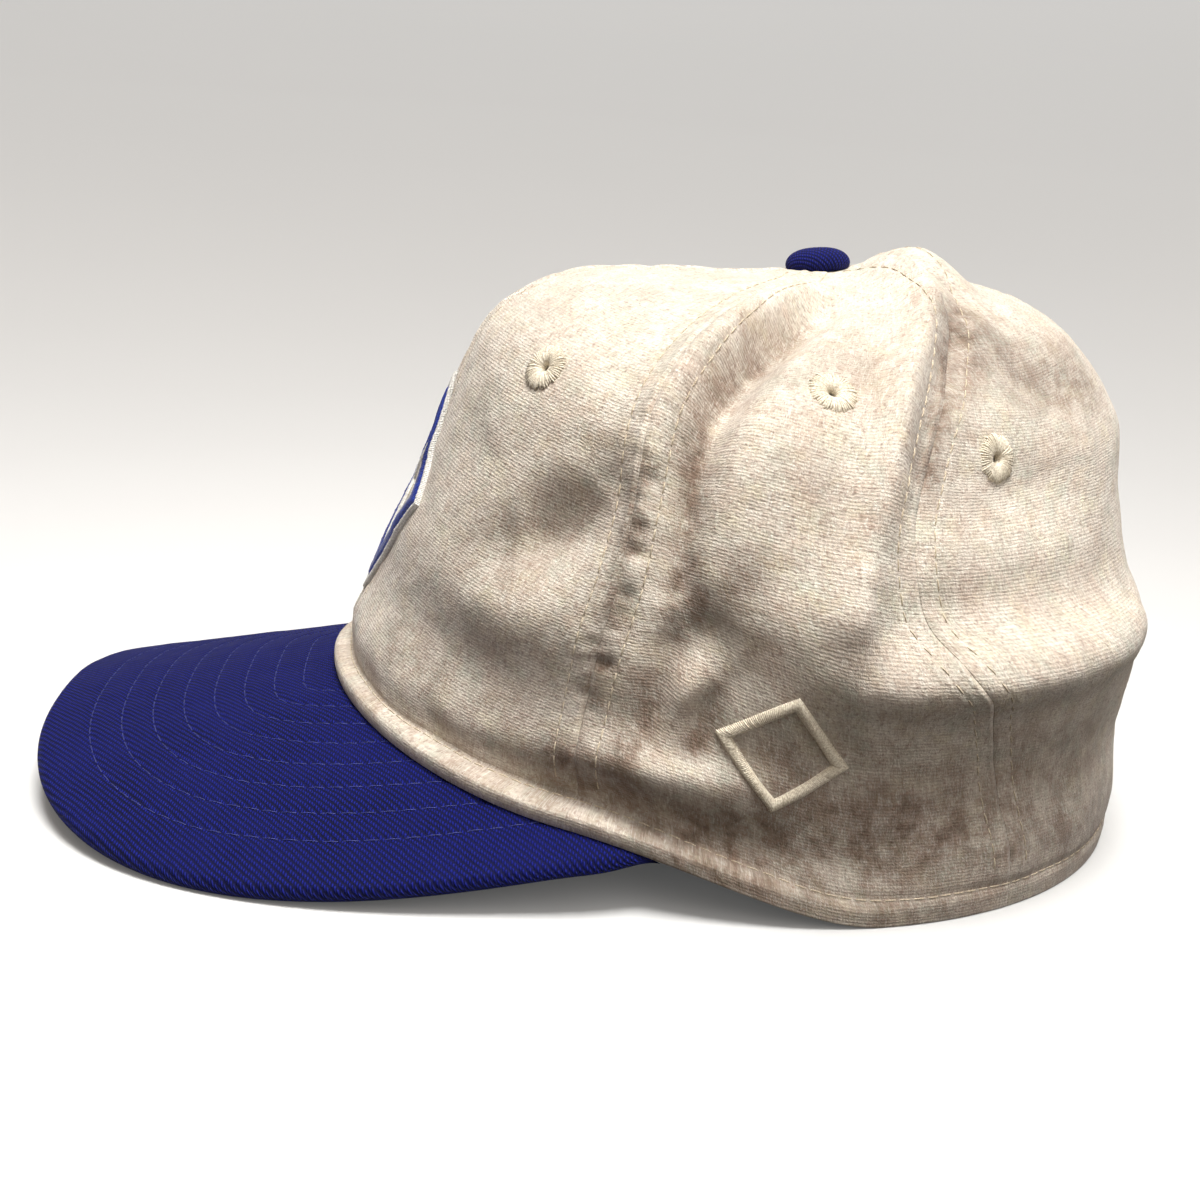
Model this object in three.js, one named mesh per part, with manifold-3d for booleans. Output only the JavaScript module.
// Fitted baseball cap: a six-panel wool crown, a stitched twill peak, a covered button,
// six embroidered eyelets, a sweatband and two raised emblems.
// Millimetres, +Z up. The front of the cap looks along -Y and the wearer's left is +X.

import * as THREE from 'three';
import { mergeVertices } from 'three/addons/utils/BufferGeometryUtils.js';
import Module from 'manifold-3d';

// Driving dimensions
const HEAD_CENTRE_Y = 32;       // the rim's centre, measured from the middle of the whole cap
const WALL = 2.0;               // wool with its backing
const GAP = 0.3;                // clearance between neighbouring pieces
const RIM_GAP = 0.45;           // over the curved peak, where the rim's facets cut its corners
const MERIDIAN = 172;           // cloth length from the rim to the button
const CROWN_TOP = 0.978;        // where the panels' tips stop short of the button's shank

const RIM = { halfWidth: 87.5, front: 99, back: 97, centreY: 1 };
const HEM = { height: 5.2, rollBack: 0.3, rollFront: 1.5, grooveBack: 0.5, grooveFront: 0.9, grooveWidth: 1 };
const HEM_FRONT_END = { az: 62, fade: 18 };    // the plump roll over the peak ends past the side seam
const DESCENT = { az: 61, span: 39 };          // where the rim comes down from the peak to the table

const PEAK = {
  thickness: 3.2,
  crownHeight: 22.9,            // mid-plane height where the peak meets the middle of the crown
  slope: 0.17,                  // fall towards the tip
  droop: 22.0,                  // fall of the sides at droopAt from the middle
  droopAt: 85,
  halfWidth: 84.9,
  widestY: -55.5,
  length: 108.7,                // from the widest line to the tip
  tail: 62,                     // how fast the sides close in behind the widest line
  roundness: 2.71,              // exponent of the outline, 2 being an ellipse
  edgeFlat: 1.0,                // upright part of the rounded edge
  seat: 1.7,                    // how far the peak reaches under the crown's wall
  outlineEnd: 107.5,
  crownEnd: 72.5,
  endDrop: 3.5,                 // extra fall of the two ends, where they pass under the descending rim
  endTaper: 0.65,               // how much of the thickness is lost at the very ends
};

const BUTTON = { radius: 7.6, height: 5.4, shankRadius: 2.4, shankLength: 3.4, tilt: 7, lift: 0.3 };
const EYELET = { radius: 4.9, bore: 1.2, collar: 1.9, thickness: 0.9, hole: 2.3 };
const SWEATBAND = { thickness: 1.2, top: 0.19, bottom: 0.008, inset: 3.7 };
const FRONT_EMBLEM = { v: 0.28, halfWidth: 19.5, halfHeight: 29, band: 8, thickness: 1.2, radius: 92 };
const SIDE_EMBLEM = {
  az: 84, v: 0.183, halfWidth: 13.5, halfHeight: 12.5, band: 2.4, thickness: 0.9, radius: 88,
};

const EMBLEM_SEAT = 0.65;        // under an emblem, over the flat facets of the panel's folds

const COLOURS = { wool: 0xe1d4be, twill: 0x262a96, thread: 0xe9dfc6, band: 0xd9d2c2 };

// Crown sections from the rim (v = 0) to the button (v = 1). Each is a rounded oval whose front,
// side and back stand at their own heights, so that the dome leans and slumps as soft wool does.
const CROWN_SECTIONS = [
  { v: 0.00, frontY: -98.0, frontZ: 0.0, halfX: 87.5, sideY: 1.0, sideZ: 0.0, backY: 98.0, backZ: 0.0 },
  { v: 0.06, frontY: -95.5, frontZ: 11.5, halfX: 86.8, sideY: 1.5, sideZ: 10.5, backY: 99.0, backZ: 11.0 },
  { v: 0.15, frontY: -89.5, frontZ: 29.0, halfX: 85.0, sideY: 2.0, sideZ: 26.0, backY: 97.0, backZ: 28.0 },
  { v: 0.24, frontY: -84.0, frontZ: 47.0, halfX: 86.8, sideY: 3.0, sideZ: 43.0, backY: 98.0, backZ: 44.0 },
  { v: 0.31, frontY: -79.5, frontZ: 60.5, halfX: 87.5, sideY: 4.0, sideZ: 55.0, backY: 96.8, backZ: 56.5 },
  { v: 0.38, frontY: -75.2, frontZ: 75.0, halfX: 85.0, sideY: 5.0, sideZ: 67.0, backY: 91.0, backZ: 67.5 },
  { v: 0.45, frontY: -71.5, frontZ: 89.0, halfX: 81.0, sideY: 6.0, sideZ: 79.0, backY: 88.0, backZ: 81.5 },
  { v: 0.53, frontY: -65.5, frontZ: 103.5, halfX: 75.0, sideY: 7.0, sideZ: 92.0, backY: 86.5, backZ: 95.5 },
  { v: 0.61, frontY: -54.5, frontZ: 113.8, halfX: 65.5, sideY: 8.0, sideZ: 103.0, backY: 80.0, backZ: 107.5 },
  { v: 0.70, frontY: -40.5, frontZ: 120.2, halfX: 53.0, sideY: 9.0, sideZ: 112.0, backY: 69.5, backZ: 118.0 },
  { v: 0.79, frontY: -25.0, frontZ: 122.3, halfX: 39.0, sideY: 10.0, sideZ: 118.8, backY: 54.5, backZ: 124.0 },
  { v: 0.88, frontY: -8.0, frontZ: 123.4, halfX: 24.0, sideY: 11.0, sideZ: 122.8, backY: 38.0, backZ: 126.5 },
  { v: 0.95, frontY: 3.0, frontZ: 124.8, halfX: 10.0, sideY: 11.5, sideZ: 125.0, backY: 22.0, backZ: 126.8 },
  { v: 1.00, frontY: 11.7, frontZ: 126.0, halfX: 0.0, sideY: 11.7, sideZ: 126.0, backY: 11.7, backZ: 126.0 },
];

// Where the seams run, in degrees round from the middle of the front, at each height.
const SEAMS = [
  { v: 0.00, frontLeft: 61.0, rearLeft: 119, frontRight: 61, rearRight: 119 },
  { v: 0.15, frontLeft: 59.0, rearLeft: 116, frontRight: 60, rearRight: 119 },
  { v: 0.25, frontLeft: 58.0, rearLeft: 110, frontRight: 60, rearRight: 118 },
  { v: 0.31, frontLeft: 57.5, rearLeft: 104, frontRight: 60, rearRight: 117 },
  { v: 0.37, frontLeft: 57.0, rearLeft: 99, frontRight: 60, rearRight: 116 },
  { v: 0.45, frontLeft: 56.5, rearLeft: 97, frontRight: 60, rearRight: 115 },
  { v: 0.54, frontLeft: 56.0, rearLeft: 99, frontRight: 60, rearRight: 115 },
  { v: 0.65, frontLeft: 56.5, rearLeft: 105, frontRight: 60, rearRight: 116 },
  { v: 0.78, frontLeft: 58.0, rearLeft: 114, frontRight: 60, rearRight: 118 },
  { v: 0.90, frontLeft: 60.0, rearLeft: 119, frontRight: 60, rearRight: 120 },
  { v: 1.00, frontLeft: 60.0, rearLeft: 120, frontRight: 60, rearRight: 120 },
];

// Folds and dents of the soft wool: a row is one curve over the crown through three places,
// each [degrees from the front, v], with its width and its rise (a dent's rise is negative).
// Positive degrees are on the wearer's left.
const FOLDS = [
  { name: 'front seam valley', from: [80, 0.8], via: [66.5, 0.62], to: [64.5, 0.34], width: 5.0, rise: -8.4 },
  { name: 'front seam ridge', from: [74, 0.84], via: [59.5, 0.66], to: [57.5, 0.4], width: 5.0, rise: 3.8 },
  { name: 'front seam hollow', from: [65, 0.3], via: [70, 0.285], to: [75, 0.27], width: 7.5, rise: -3.8 },
  { name: 'side panel swell', from: [86, 0.66], via: [76, 0.52], to: [79, 0.38], width: 17.0, rise: 3.2 },
  { name: 'crown hump', from: [150, 0.9], via: [126, 0.87], to: [114, 0.77], width: 12.0, rise: 8.5 },
  { name: 'rear ridge', from: [112, 0.78], via: [95.5, 0.6], to: [88.5, 0.36], width: 5.5, rise: 6.4 },
  { name: 'rear ridge foot', from: [88.5, 0.39], via: [88, 0.34], to: [90, 0.29], width: 6.5, rise: 3.0 },
  { name: 'rear valley', from: [119, 0.79], via: [102.5, 0.66], to: [96, 0.54], width: 4.6, rise: -5.5 },
  { name: 'back panel cave', from: [102, 0.49], via: [119, 0.51], to: [140, 0.52], width: 19.0, rise: -8.6 },
  { name: 'back panel hollow', from: [114, 0.68], via: [129, 0.655], to: [144, 0.6], width: 10.0, rise: -3.4 },
  { name: 'over the shelf', from: [98, 0.375], via: [118, 0.385], to: [144, 0.392], width: 7.5, rise: -2.6 },
  { name: 'back shelf', from: [88, 0.282], via: [110, 0.293], to: [146, 0.302], width: 6.5, rise: 4.8 },
  { name: 'under the shelf', from: [94, 0.19], via: [112, 0.18], to: [138, 0.165], width: 12.5, rise: -3.0 },
  { name: 'base tuck', from: [38, 0.036], via: [62, 0.038], to: [84, 0.05], width: 6.0, rise: -4.6 },
  { name: 'shelf over the tuck', from: [60, 0.105], via: [70, 0.108], to: [81, 0.128], width: 5.5, rise: 3.0 },
  { name: 'small base dent', from: [84, 0.068], via: [94, 0.078], to: [107, 0.088], width: 8.0, rise: -2.8 },
  { name: 'first streak', from: [65, 0.28], via: [66.5, 0.22], to: [67, 0.15], width: 3.8, rise: -3.0 },
  { name: 'second streak', from: [75, 0.235], via: [73.5, 0.2], to: [73, 0.16], width: 3.2, rise: -2.4 },
  { name: 'between streaks', from: [71, 0.27], via: [70.5, 0.22], to: [70, 0.16], width: 3.2, rise: 1.6 },
  { name: 'front panel dent', from: [39, 0.315], via: [45, 0.35], to: [51, 0.41], width: 8.5, rise: -5.8 },
  { name: 'front low dent', from: [15, 0.16], via: [38, 0.15], to: [55, 0.132], width: 10.0, rise: -1.8 },
  { name: 'front low swell', from: [30, 0.23], via: [44, 0.235], to: [56, 0.25], width: 7.5, rise: 1.5 },
  { name: 'over the roll', from: [-60, 0.038], via: [-10, 0.036], to: [40, 0.036], width: 4.2, rise: -2.0 },
  { name: 'right seam valley', from: [-80, 0.74], via: [-68, 0.58], to: [-64, 0.38], width: 8.0, rise: -2.0 },
  { name: 'right rear ridge', from: [-122, 0.76], via: [-108, 0.56], to: [-104, 0.36], width: 10.0, rise: 2.0 },
  { name: 'right back dent', from: [-132, 0.66], via: [-130, 0.54], to: [-136, 0.42], width: 13.0, rise: -2.5 },
  { name: 'right shelf', from: [-96, 0.27], via: [-125, 0.28], to: [-150, 0.28], width: 9.0, rise: 4.0 },
  { name: 'right base tuck', from: [-60, 0.09], via: [-74, 0.09], to: [-92, 0.1], width: 7.0, rise: -1.5 },
  { name: 'right front dent', from: [-34, 0.28], via: [-44, 0.36], to: [-50, 0.44], width: 14.0, rise: -2.0 },
];

// Where the eyelets sit, in each panel's upper half.
const EYELETS = [
  { name: 'front_left', panel: 'front_panel_left', az: 33, v: 0.517 },
  { name: 'side_left', panel: 'side_panel_left', az: 82, v: 0.60 },
  { name: 'back_left', panel: 'back_panel_left', az: 114, v: 0.558 },
  { name: 'front_right', panel: 'front_panel_right', az: -33, v: 0.517 },
  { name: 'side_right', panel: 'side_panel_right', az: -88, v: 0.60 },
  { name: 'back_right', panel: 'back_panel_right', az: -146, v: 0.56 },
];

// Heights of the mesh rows, closer at the hem; the seen left side has more columns.
const ROWS = [
  0, 0.0075, 0.015, 0.023, 0.030, 0.040, 0.060, 0.09, 0.12, 0.15, 0.18, 0.21, 0.24, 0.27, 0.30, 0.335,
  0.37, 0.41, 0.45, 0.49, 0.53, 0.57, 0.61, 0.65, 0.69, 0.735, 0.78, 0.825, 0.87, 0.915, 0.95, CROWN_TOP,
];
const COLUMNS = { left: 9, right: 6 };

const radians = THREE.MathUtils.degToRad;
const degrees = THREE.MathUtils.radToDeg;
const lerp = THREE.MathUtils.lerp;
const smooth = (t) => THREE.MathUtils.smoothstep(t, 0, 1);

// A smooth curve through a table's column that never swings past its rows.
function column(table, name) {
  const x = table.map((row) => row.v);
  const y = table.map((row) => row[name]);
  const secant = x.slice(1).map((next, i) => (y[i + 1] - y[i]) / (next - x[i]));
  const slope = x.map((_, i) => {
    if (i === 0) return secant[0];
    if (i === x.length - 1) return secant[i - 1];
    const [before, after] = [secant[i - 1], secant[i]];
    return before * after > 0 ? (2 * before * after) / (before + after) : 0;
  });
  return (v) => {
    let i = 0;
    while (i < x.length - 2 && v > x[i + 1]) i += 1;
    const width = x[i + 1] - x[i];
    const t = (v - x[i]) / width;
    const start = (1 + 2 * t) * (1 - t) ** 2 * y[i] + t * (1 - t) ** 2 * width * slope[i];
    const end = t * t * (3 - 2 * t) * y[i + 1] + t * t * (t - 1) * width * slope[i + 1];
    return start + end;
  };
}

const section = {};
for (const name of ['frontY', 'frontZ', 'halfX', 'sideY', 'sideZ', 'backY', 'backZ']) {
  section[name] = column(CROWN_SECTIONS, name);
}
const seam = {
  frontLeft: column(SEAMS, 'frontLeft'),
  rearLeft: column(SEAMS, 'rearLeft'),
  frontRight: column(SEAMS, 'frontRight'),
  rearRight: column(SEAMS, 'rearRight'),
};

// 0 over the peak, 1 where the rim stands on the table.
function descent(x, y) {
  const az = Math.abs(degrees(Math.atan2(x / RIM.halfWidth, (RIM.centreY - y) / RIM.front)));
  return smooth((az - DESCENT.az) / DESCENT.span);
}

function peakTop(x, y) {
  const middle = PEAK.crownHeight + PEAK.slope * (y + RIM.front) - PEAK.droop * (x / PEAK.droopAt) ** 2;
  return (middle + PEAK.thickness / 2) * (1 - descent(x, y));
}

// The rim rides on the peak in front and comes down to the table behind it.
function rimHeight(x, y) {
  return peakTop(x, y) + RIM_GAP * (1 - descent(x, y));
}

function crownBase(az, v) {
  const cos = Math.cos(radians(az));
  const sin = Math.sin(radians(az));
  const atFront = cos > 0;
  const sideY = section.sideY(v);
  const sideZ = section.sideZ(v);
  const endY = atFront ? section.frontY(v) : section.backY(v);
  const endZ = atFront ? section.frontZ(v) : section.backZ(v);
  const rimY = RIM.centreY - (atFront ? RIM.front : RIM.back) * cos;
  const rise = rimHeight(RIM.halfWidth * sin, rimY) * (1 - v) ** 2;
  return new THREE.Vector3(
    section.halfX(v) * sin,
    sideY + (endY - sideY) * Math.abs(cos),
    sideZ + (endZ - sideZ) * cos * cos + rise,
  );
}

function crownNormal(az, v) {
  const step = { az: 0.1, v: 0.002 };
  const height = THREE.MathUtils.clamp(v, step.v, CROWN_TOP);
  const along = crownBase(az + step.az, height).sub(crownBase(az - step.az, height));
  const up = crownBase(az, height + step.v).sub(crownBase(az, height - step.v));
  return along.cross(up).normalize();
}

// Each fold becomes a polyline over the crown that passes through its three places.
const foldPaths = FOLDS.map((fold) => {
  const steps = 12;
  const bend = fold.via.map((value, i) => 2 * value - (fold.from[i] + fold.to[i]) / 2);
  const points = [];
  for (let k = 0; k <= steps; k += 1) {
    const t = k / steps;
    const place = bend.map((b, i) => fold.from[i] * (1 - t) ** 2 + 2 * b * t * (1 - t) + fold.to[i] * t * t);
    points.push(crownBase(place[0], place[1]));
  }
  return { points, width: fold.width, rise: fold.rise };
});

// A fold is full in the middle of its length and dies away at its ends and sides.
function foldRise(point) {
  let rise = 0;
  const nearest = new THREE.Vector3();
  const piece = new THREE.Line3();
  for (const fold of foldPaths) {
    let distance = Infinity;
    let along = 0;
    for (let k = 0; k < fold.points.length - 1; k += 1) {
      piece.set(fold.points[k], fold.points[k + 1]);
      const t = piece.closestPointToPointParameter(point, true);
      piece.at(t, nearest);
      const d = nearest.distanceTo(point);
      if (d < distance) {
        distance = d;
        along = (k + t) / (fold.points.length - 1);
      }
    }
    const strength = Math.sin(Math.PI * (0.15 + 0.7 * along));
    rise += fold.rise * strength * Math.exp(-((distance / fold.width) ** 2));
  }
  return rise;
}

// The rolled hem, plump over the peak, and the stitched groove above it.
function hemRise(az, v) {
  const height = v * MERIDIAN;
  const front = 1 - smooth((Math.abs(az) - HEM_FRONT_END.az) / HEM_FRONT_END.fade);
  const middle = HEM.height / 2;
  const round = Math.sqrt(Math.max(0, 1 - ((height - middle) / (middle + 0.4)) ** 2));
  const groove = Math.exp(-(((height - HEM.height) / HEM.grooveWidth) ** 2));
  const roll = lerp(HEM.rollBack, HEM.rollFront, front);
  const depth = lerp(HEM.grooveBack, HEM.grooveFront, front);
  return roll * round - depth * groove;
}

// Folds fade out at the hem below and under the button above.
function foldFade(v) {
  return smooth((v * MERIDIAN - HEM.height + 2.5) / 3.5) * smooth((CROWN_TOP - v) / 0.05);
}

function crownPoint(az, v, depth = 0) {
  const base = crownBase(az, v);
  const rise = foldRise(base) * foldFade(v) + hemRise(az, v);
  const point = base.addScaledVector(crownNormal(az, v), rise - depth);
  if (v === 0) point.z = rimHeight(point.x, point.y);
  return point;
}

// A closed wall between two grids of points: its two faces and the strips along their edges.
function wall(outer, inner, closed = false) {
  const columns = outer.length;
  const rows = outer[0].length;
  const points = [...outer.flat(), ...inner.flat()];
  const out = (i, j) => (i % columns) * rows + j;
  const back = (i, j) => columns * rows + out(i, j);
  const faces = [];
  const quad = (a, b, c, d) => faces.push(a, b, c, a, c, d);
  const spans = closed ? columns : columns - 1;
  for (let i = 0; i < spans; i += 1) {
    for (let j = 0; j < rows - 1; j += 1) {
      quad(out(i, j), out(i + 1, j), out(i + 1, j + 1), out(i, j + 1));
      quad(back(i, j), back(i, j + 1), back(i + 1, j + 1), back(i + 1, j));
    }
    const top = rows - 1;
    quad(out(i, 0), back(i, 0), back(i + 1, 0), out(i + 1, 0));
    quad(out(i, top), out(i + 1, top), back(i + 1, top), back(i, top));
  }
  if (!closed) {
    const end = columns - 1;
    for (let j = 0; j < rows - 1; j += 1) {
      quad(out(0, j), out(0, j + 1), back(0, j + 1), back(0, j));
      quad(out(end, j), back(end, j), back(end, j + 1), out(end, j + 1));
    }
  }
  const geometry = new THREE.BufferGeometry().setFromPoints(points);
  geometry.setIndex(faces);
  geometry.computeVertexNormals();
  return geometry;
}

function panelColumns(from, to, count) {
  const halfGap = GAP / 2;
  return Array.from({ length: count + 1 }, (_, i) => (v) => {
    const radius = Math.max(section.halfX(v), EYELET.radius);
    const inset = degrees(halfGap / radius);
    return lerp(from(v) + inset, to(v) - inset, i / count);
  });
}

function panel(columns) {
  const face = (depth) => columns.map((az) => ROWS.map((v) => crownPoint(az(v), v, depth)));
  return wall(face(0), face(WALL));
}

const wasm = await Module();
wasm.setup();

function solid(geometry) {
  const bare = geometry.clone();
  bare.deleteAttribute('normal');
  bare.deleteAttribute('uv');
  const merged = mergeVertices(bare, 1e-4);
  const vertProperties = new Float32Array(merged.attributes.position.array);
  const triVerts = new Uint32Array(merged.index.array);
  return new wasm.Manifold(new wasm.Mesh({ numProp: 3, vertProperties, triVerts }));
}

function geometryOf(manifold) {
  const mesh = manifold.getMesh();
  const geometry = new THREE.BufferGeometry();
  geometry.setAttribute('position', new THREE.BufferAttribute(mesh.vertProperties, 3));
  geometry.setIndex(new THREE.BufferAttribute(mesh.triVerts, 1));
  geometry.computeVertexNormals();
  return geometry;
}

// The frame of an eyelet on the folded cloth: its own +Z points out, and it rests on the highest
// of the four places that lie under its rim.
function seatOnCrown({ az, v }, lift) {
  const across = degrees(EYELET.radius / (section.halfX(v) + EYELET.radius));
  const upward = EYELET.radius / MERIDIAN;
  const rim = [[across, 0], [-across, 0], [0, upward], [0, -upward]].map(([a, b]) => crownPoint(az + a, v + b));
  const normal = rim[0].clone().sub(rim[1]).cross(rim[2].clone().sub(rim[3])).normalize();
  const position = crownPoint(az, v);
  const over = Math.max(0, ...rim.map((point) => point.clone().sub(position).dot(normal)));
  const quaternion = new THREE.Quaternion().setFromUnitVectors(new THREE.Vector3(0, 0, 1), normal);
  return { position: position.addScaledVector(normal, lift + over), quaternion };
}

function pierce(geometry, place) {
  const { position, quaternion } = seatOnCrown(place, 0);
  const drill = new THREE.CylinderGeometry(EYELET.hole, EYELET.hole, 6 * WALL, 14);
  drill.rotateX(Math.PI / 2);
  drill.applyQuaternion(quaternion);
  drill.translate(position.x, position.y, position.z);
  return geometryOf(solid(geometry).subtract(solid(drill)));
}

const material = (name, color) => new THREE.MeshStandardMaterial({ name, color, roughness: 0.9, metalness: 0 });
const wool = material('wool_melton', COLOURS.wool);
const twill = material('cotton_twill', COLOURS.twill);
const thread = material('embroidery_thread', COLOURS.thread);
const bandCloth = material('sweatband_cloth', COLOURS.band);

function piece(name, geometry, finish) {
  const mesh = new THREE.Mesh(geometry, finish);
  mesh.name = name;
  return mesh;
}

const FRONT = () => 0;
const BACK = () => 180;
const mirrored = (edge) => (v) => -edge(v);
const { left, right } = COLUMNS;
const PANELS = [
  { name: 'front_panel_left', from: FRONT, to: seam.frontLeft, columns: left },
  { name: 'side_panel_left', from: seam.frontLeft, to: seam.rearLeft, columns: left },
  { name: 'back_panel_left', from: seam.rearLeft, to: BACK, columns: left },
  { name: 'front_panel_right', from: mirrored(seam.frontRight), to: FRONT, columns: right },
  { name: 'side_panel_right', from: mirrored(seam.rearRight), to: mirrored(seam.frontRight), columns: right },
  { name: 'back_panel_right', from: mirrored(BACK), to: mirrored(seam.rearRight), columns: right },
];

function crownPanels() {
  return PANELS.map(({ name, from, to, columns }) => {
    const hole = EYELETS.find((eyelet) => eyelet.panel === name);
    return piece(name, pierce(panel(panelColumns(from, to, columns)), hole), wool);
  });
}

// Thread wound over the edge of the hole: a low ring outside and a collar through the cloth.
function eyeletRings() {
  const { radius, bore, collar, thickness } = EYELET;
  const profile = [
    [bore, -WALL], [collar, -WALL], [collar, GAP], [radius, GAP], [radius, GAP + 0.4 * thickness],
    [0.7 * radius, GAP + thickness], [1.6 * bore, GAP + thickness], [bore, 0.6 * thickness], [bore, -WALL],
  ].map(([x, y]) => new THREE.Vector2(x, y));
  return EYELETS.map((eyelet) => {
    const ring = new THREE.LatheGeometry(profile, 10);
    ring.rotateX(Math.PI / 2);
    const mesh = piece(`eyelet_${eyelet.name}`, ring, thread);
    const { position, quaternion } = seatOnCrown(eyelet, GAP);
    mesh.position.copy(position);
    mesh.quaternion.copy(quaternion);
    return mesh;
  });
}

// The peak's outline from tip (t = 0) to the points that tuck under the crown.
function peakOutline(t) {
  const cos = Math.cos(radians(t));
  const sin = Math.sin(radians(t));
  const power = 2 / PEAK.roundness;
  const reach = Math.abs(cos) ** power;
  return new THREE.Vector2(
    PEAK.halfWidth * Math.sign(sin) * Math.abs(sin) ** power,
    PEAK.widestY + (cos > 0 ? -PEAK.length : PEAK.tail) * reach,
  );
}

function peakInnerEdge(az) {
  return new THREE.Vector2(
    (RIM.halfWidth - PEAK.seat) * Math.sin(radians(az)),
    RIM.centreY - (RIM.front - PEAK.seat) * Math.cos(radians(az)),
  );
}

function peak() {
  const columns = 40;
  const half = PEAK.thickness / 2;
  const flat = PEAK.edgeFlat / 2;
  // Each row: distance in from the outline, and height above or below the mid-plane.
  const edge = [
    { inset: 0, rise: flat },
    { inset: 0.35 * half, rise: 0.8 * half },
    { inset: half, rise: half },
  ];
  const inner = [0.10, 0.28, 0.48, 0.68, 0.86, 1];
  const top = [];
  const bottom = [];
  for (let i = 0; i <= columns; i += 1) {
    const share = (2 * i) / columns - 1;
    const outline = peakOutline(share * PEAK.outlineEnd);
    const tuck = peakInnerEdge(share * PEAK.crownEnd);
    const inward = tuck.clone().sub(outline);
    const width = inward.length();
    inward.normalize();
    const slim = 1 - PEAK.endTaper * smooth((Math.abs(share) - 0.9) / 0.1);
    const place = (inset, rise) => {
      const at = outline.clone().addScaledVector(inward, inset);
      const drop = half * slim + PEAK.endDrop * descent(at.x, at.y);
      return new THREE.Vector3(at.x, at.y, peakTop(at.x, at.y) - drop + rise * slim);
    };
    const insets = inner.map((k) => lerp(Math.min(half, 0.5 * width), width, k));
    const scale = Math.min(1, width / (4 * half));
    const rows = (side) => [
      ...edge.map(({ inset, rise }) => place(inset * scale, side * rise)),
      ...insets.map((inset) => place(inset, side * half)),
    ];
    top.push(rows(1));
    bottom.push(rows(-1));
  }
  return piece('peak', wall(top, bottom), twill);
}

// A padded disc covered in twill, with the shank that holds the panels' tips.
function button() {
  const { radius, height, shankRadius, shankLength } = BUTTON;
  const profile = [[0, -shankLength], [shankRadius, -shankLength], [shankRadius, 0], [0.86 * radius, 0]];
  const dome = 6;
  for (let k = 0; k < dome; k += 1) {
    const angle = radians((90 * k) / dome);
    profile.push([radius * Math.cos(angle) ** 0.8, height * (0.3 + 0.7 * Math.sin(angle))]);
  }
  profile.push([0, height]);
  const disc = new THREE.LatheGeometry(profile.map(([x, y]) => new THREE.Vector2(x, y)), 20);
  disc.rotateX(Math.PI / 2);
  const mesh = piece('button', disc, twill);
  const apex = crownBase(0, 1);
  mesh.position.set(apex.x, apex.y, apex.z + BUTTON.lift);
  mesh.rotation.x = radians(BUTTON.tilt);
  return mesh;
}

// The band inside the rim, held by the row of stitches round the foot of the crown.
function sweatband() {
  const rows = [SWEATBAND.bottom, 0.030, 0.060, 0.09, 0.12, 0.15, SWEATBAND.top];
  const at = (az, v, depth) => {
    const base = crownBase(az, v);
    const rise = foldRise(base) * foldFade(v) - SWEATBAND.inset - depth;
    return base.addScaledVector(crownNormal(az, v), rise);
  };
  const around = [];
  for (const { from, to, columns } of PANELS) {
    for (let i = 0; i < columns; i += 1) around.push((v) => lerp(from(v), to(v), i / columns));
  }
  around.sort((a, b) => a(0) - b(0));
  const face = (depth) => around.map((az) => rows.map((v) => at(az(v), v, depth)));
  return piece('sweatband', wall(face(0), face(SWEATBAND.thickness), true), bandCloth);
}

// A raised four-cornered ring that follows the crown under it.
function diamondRing(name, { az, v, halfWidth, halfHeight, band, thickness, radius }, finish) {
  const perSide = 6;
  const corners = [[1, 0], [0, 1], [-1, 0], [0, -1]];
  const shrink = 1 - (band * Math.hypot(halfWidth, halfHeight)) / (halfWidth * halfHeight);
  const across = [1, (1 + shrink) / 2, shrink];
  const lay = (depth) => corners.flatMap((corner, side) => {
    const next = corners[(side + 1) % corners.length];
    return Array.from({ length: perSide }, (_, k) => across.map((scale) => {
      const x = scale * halfWidth * lerp(corner[0], next[0], k / perSide);
      const y = scale * halfHeight * lerp(corner[1], next[1], k / perSide);
      return crownPoint(az + degrees(x / radius), v + y / MERIDIAN, depth);
    }));
  });
  return piece(name, wall(lay(-EMBLEM_SEAT - thickness), lay(-EMBLEM_SEAT), true), finish);
}

const group = new THREE.Group();
group.add(...crownPanels());
group.add(...eyeletRings());
group.add(peak());
group.add(button());
group.add(sweatband());
group.add(diamondRing('front_emblem', { az: 0, ...FRONT_EMBLEM }, twill));
group.add(diamondRing('side_emblem', SIDE_EMBLEM, thread));
group.position.y = HEAD_CENTRE_Y;

export default group;
